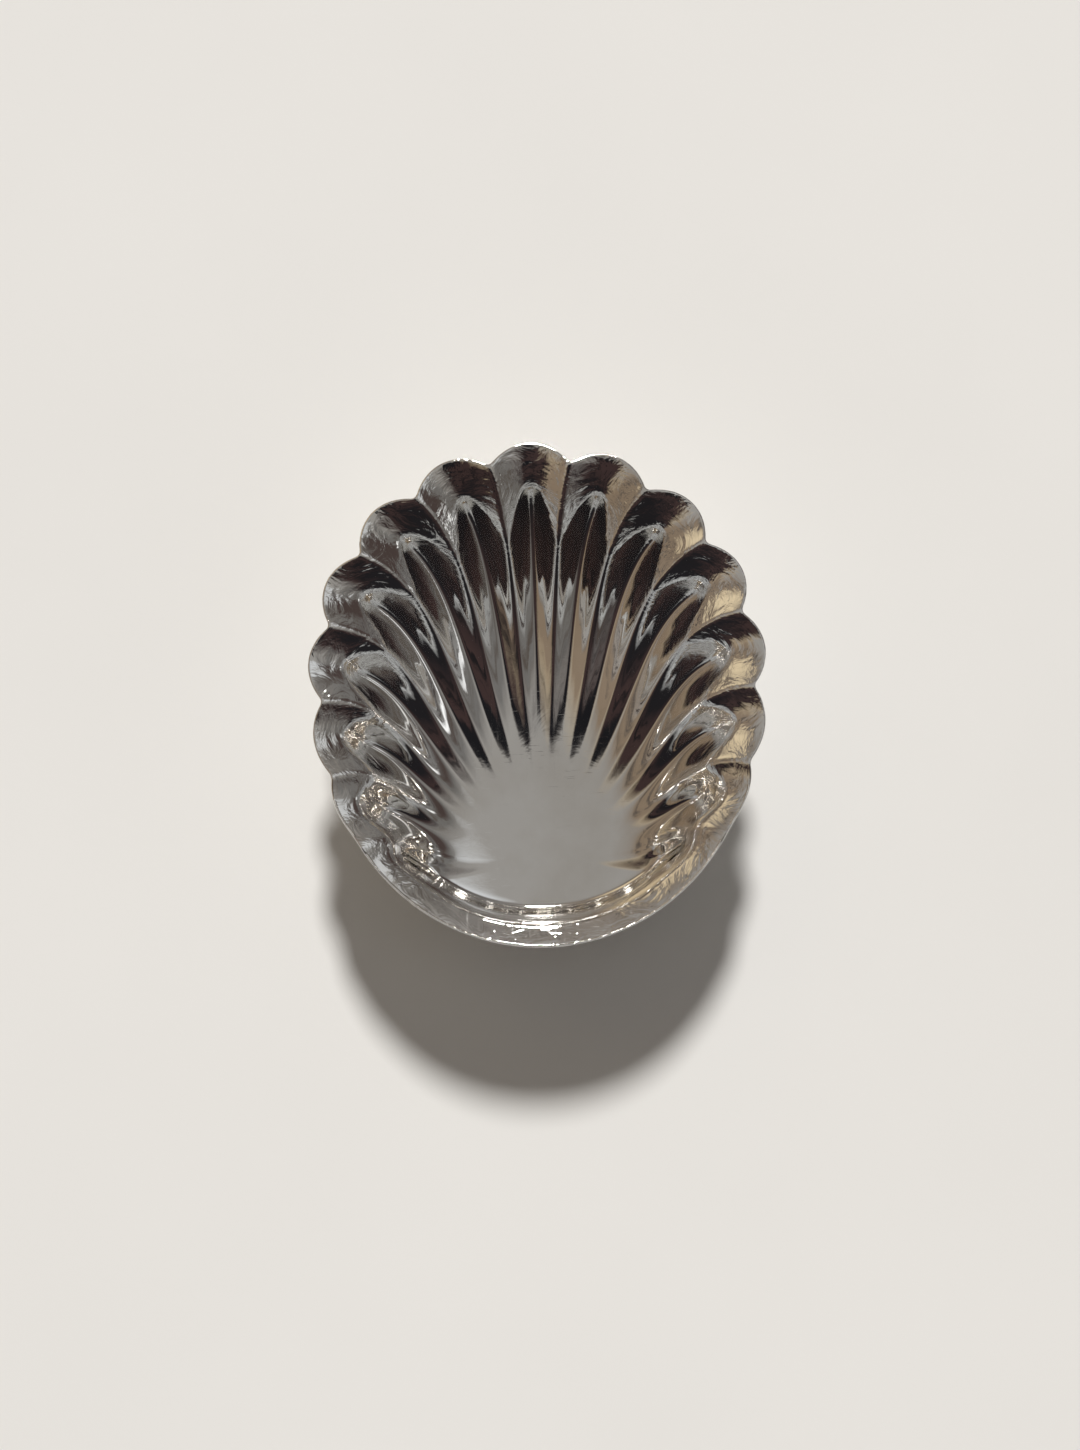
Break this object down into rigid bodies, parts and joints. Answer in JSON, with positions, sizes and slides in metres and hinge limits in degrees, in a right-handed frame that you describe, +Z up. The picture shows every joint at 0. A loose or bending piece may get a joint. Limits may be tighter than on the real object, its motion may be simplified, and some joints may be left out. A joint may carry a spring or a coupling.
{
  "type": "shell bowl",
  "caption": "Fluted scallop-shell dish pressed from polished silver-plated sheet, with a flared lobed lip, on ball feet.",
  "frame": {"origin": "on the table under the middle of the dish's outline", "axes": "+Z up, +Y from the smooth hinge end to the scalloped lip, +X across the dish to the right"},
  "size_m": [0.1286, 0.1426, 0.038],
  "materials": {
    "silver_plate": "polished",
    "solder": "dull"
  },
  "bodies": {
    "root": {"bowl": "silver_plate", "back_foot_pad": "silver_plate", "back_foot": "silver_plate", "back_foot_solder": "solder", "front_left_foot_pad": "silver_plate", "front_left_foot": "silver_plate", "front_left_foot_solder": "solder", "front_right_foot_pad": "silver_plate", "front_right_foot": "silver_plate", "front_right_foot_solder": "solder"}
  },
  "joints": []
}
